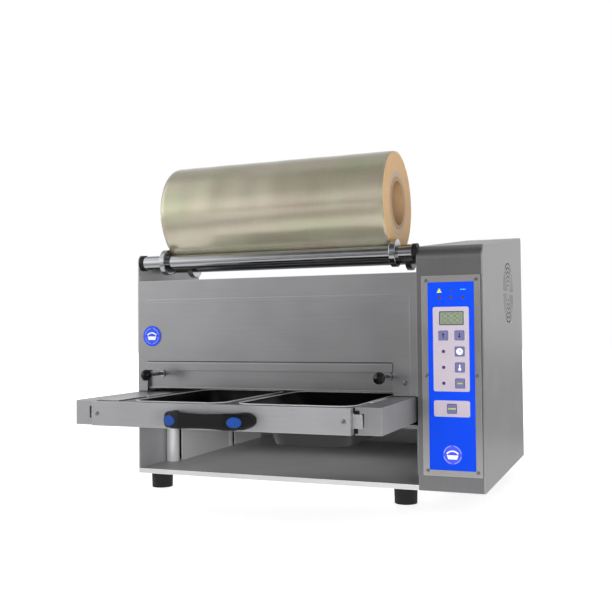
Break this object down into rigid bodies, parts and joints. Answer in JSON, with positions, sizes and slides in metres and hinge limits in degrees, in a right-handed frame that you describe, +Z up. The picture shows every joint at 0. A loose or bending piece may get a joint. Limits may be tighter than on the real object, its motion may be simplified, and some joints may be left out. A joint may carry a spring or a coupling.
{
  "type": "film sealing machine",
  "caption": "Tabletop tray and film sealing machine with a pull-out mould drawer, a film roll on two rollers, a hinged access flap and a side control box with keys.",
  "frame": {"origin": "on the bench, under the middle of the whole machine's box with the drawer pulled out as stored", "axes": "+X to the operator's right, +Y from the operator into the machine, +Z up"},
  "size_m": [0.64, 0.725, 0.5996],
  "materials": {
    "brushed_steel": "fine brushed stainless sheet",
    "faceplate_steel": "satin stainless plate",
    "drawer_frame_steel": "plain stainless bar",
    "polished_steel": "ground and polished",
    "screw_steel": "turned screw heads",
    "mould_coating": "dark hard anodised",
    "pan_coating": "dark non-stick coating",
    "plate_aluminium": "milled plate",
    "bearing_bronze": "turned bronze",
    "cutter_steel": "ground blade",
    "black_plastic": "moulded black plastic",
    "handle_plastic": "moulded, fine grain",
    "glide_plastic": "machined acetal",
    "cap_plastic": "blue moulded caps",
    "foot_rubber": "moulded rubber",
    "film_plastic": "clear film wound tight",
    "core_card": "spiral wound cardboard",
    "badge_enamel": "domed label",
    "membrane_print": "printed polyester membrane",
    "key_plastic": "printed key caps",
    "display_glass": "tinted display window",
    "lamp_lens": "unlit lamp lenses",
    "circuit_board": "solder mask",
    "supply_aluminium": "extruded heat sink",
    "fan_plastic": "moulded fan",
    "rocker_plastic": "moulded rocker",
    "motor_paint": "painted casting"
  },
  "bodies": {
    "housing": {"base_tray": "brushed_steel", "bay_liners": "brushed_steel", "bridge": "plate_aluminium", "control_board": "circuit_board", "control_faceplate": "faceplate_steel", "control_rear_plate": "brushed_steel", "control_shell": "brushed_steel", "display_window": "display_glass", "drawer_rails": "drawer_frame_steel", "drive_gearmotor": "motor_paint", "fan_frame": "fan_plastic", "feet": "foot_rubber", "flap_hinge_pin": "polished_steel", "front_badge": "badge_enamel", "front_panel": "brushed_steel", "guide_bushes": "bearing_bronze", "housing_screws": "screw_steel", "indicator_lamps": "lamp_lens", "left_side_panel": "brushed_steel", "membrane_label": "membrane_print", "power_entry": "black_plastic", "power_supply": "supply_aluminium", "rail_pillars": "polished_steel", "rear_cover": "brushed_steel", "roller_bushes": "handle_plastic", "side_cover": "brushed_steel", "top_cover": "brushed_steel"},
    "drawer": {"left_drawer_arm": "brushed_steel", "right_drawer_arm": "brushed_steel", "drawer_front_plate": "brushed_steel", "drawer_crossbars": "drawer_frame_steel", "mould_plate": "mould_coating", "cavity_rims": "polished_steel", "shallow_pan": "pan_coating", "deep_pan": "pan_coating", "mould_clamps": "screw_steel", "drawer_glides": "glide_plastic", "drawer_handle": "handle_plastic", "handle_caps": "cap_plastic"},
    "flap": {"access_flap": "brushed_steel", "knob_rods": "polished_steel", "ball_knobs": "black_plastic"},
    "sealing_head": {"cutting_frames": "cutter_steel", "heater_plate": "plate_aluminium", "head_carrier": "plate_aluminium", "guide_rods": "polished_steel", "lift_nut": "bearing_bronze"},
    "lift_screw": {"lift_screw": "polished_steel"},
    "film_roll": {"film_wrap": "film_plastic", "film_core": "core_card"},
    "front_roller": {"front_roller": "polished_steel"},
    "rear_roller": {"rear_roller": "polished_steel"},
    "fan_impeller": {"fan_impeller": "fan_plastic"},
    "switch_rocker": {"switch_rocker": "rocker_plastic"},
    "key_up": {"key_up": "key_plastic"},
    "key_down": {"key_down": "key_plastic"},
    "key_timer": {"key_timer": "key_plastic"},
    "key_temperature": {"key_temperature": "key_plastic"},
    "key_mode": {"key_mode": "key_plastic"},
    "key_start": {"key_start": "key_plastic"}
  },
  "joints": [
    {"name": "drawer_slide", "type": "slide", "parent": "housing", "child": "drawer", "axis": [0, 1, 0], "range_m": [-0.095, 0.189]},
    {"name": "flap_hinge", "type": "hinge", "parent": "housing", "child": "flap", "pos_m": [-0.065, -0.1165, 0.2335], "axis": [-1, 0, 0], "range_deg": [0, 75]},
    {"name": "press_slide", "type": "slide", "parent": "housing", "child": "sealing_head", "axis": [0, 0, -1], "range_m": [0, 0.012]},
    {"name": "lift_screw_turn", "type": "hinge", "parent": "housing", "child": "lift_screw", "pos_m": [-0.054, 0.0375, 0.2193], "axis": [0, 0, 1], "range_deg": [0, 216.2]},
    {"name": "film_roll_spin", "type": "hinge", "parent": "housing", "child": "film_roll", "pos_m": [-0.0455, -0.0535, 0.50959], "axis": [1, 0, 0], "continuous": true},
    {"name": "front_roller_spin", "type": "hinge", "parent": "housing", "child": "front_roller", "pos_m": [-0.054, -0.1035, 0.4192], "axis": [1, 0, 0], "continuous": true},
    {"name": "rear_roller_spin", "type": "hinge", "parent": "housing", "child": "rear_roller", "pos_m": [-0.054, -0.0035, 0.4192], "axis": [1, 0, 0], "continuous": true},
    {"name": "fan_spin", "type": "hinge", "parent": "housing", "child": "fan_impeller", "pos_m": [0.303, 0.1445, 0.357], "axis": [1, 0, 0], "continuous": true},
    {"name": "switch_rocker_tilt", "type": "hinge", "parent": "housing", "child": "switch_rocker", "pos_m": [0.266, 0.3145, 0.14], "axis": [1, 0, 0], "range_deg": [-9, 9]},
    {"name": "key_up_press", "type": "slide", "parent": "housing", "child": "key_up", "axis": [0, 1, 0], "range_m": [0, 0.0005], "stiffness_N_per_m": 1500, "springref_m": -0.0004},
    {"name": "key_down_press", "type": "slide", "parent": "housing", "child": "key_down", "axis": [0, 1, 0], "range_m": [0, 0.0005], "stiffness_N_per_m": 1500, "springref_m": -0.0004},
    {"name": "key_timer_press", "type": "slide", "parent": "housing", "child": "key_timer", "axis": [0, 1, 0], "range_m": [0, 0.0005], "stiffness_N_per_m": 1500, "springref_m": -0.0004},
    {"name": "key_temperature_press", "type": "slide", "parent": "housing", "child": "key_temperature", "axis": [0, 1, 0], "range_m": [0, 0.0005], "stiffness_N_per_m": 1500, "springref_m": -0.0004},
    {"name": "key_mode_press", "type": "slide", "parent": "housing", "child": "key_mode", "axis": [0, 1, 0], "range_m": [0, 0.0005], "stiffness_N_per_m": 1500, "springref_m": -0.0004},
    {"name": "key_start_press", "type": "slide", "parent": "housing", "child": "key_start", "axis": [0, 1, 0], "range_m": [0, 0.0005], "stiffness_N_per_m": 1500, "springref_m": -0.0004}
  ],
  "couplings": [
    {"joint": "front_roller_spin", "follows": "film_roll_spin", "ratio": -6.9231},
    {"joint": "rear_roller_spin", "follows": "film_roll_spin", "ratio": -6.9231},
    {"joint": "lift_screw_turn", "follows": "press_slide", "rad_per_m": 314.16}
  ]
}
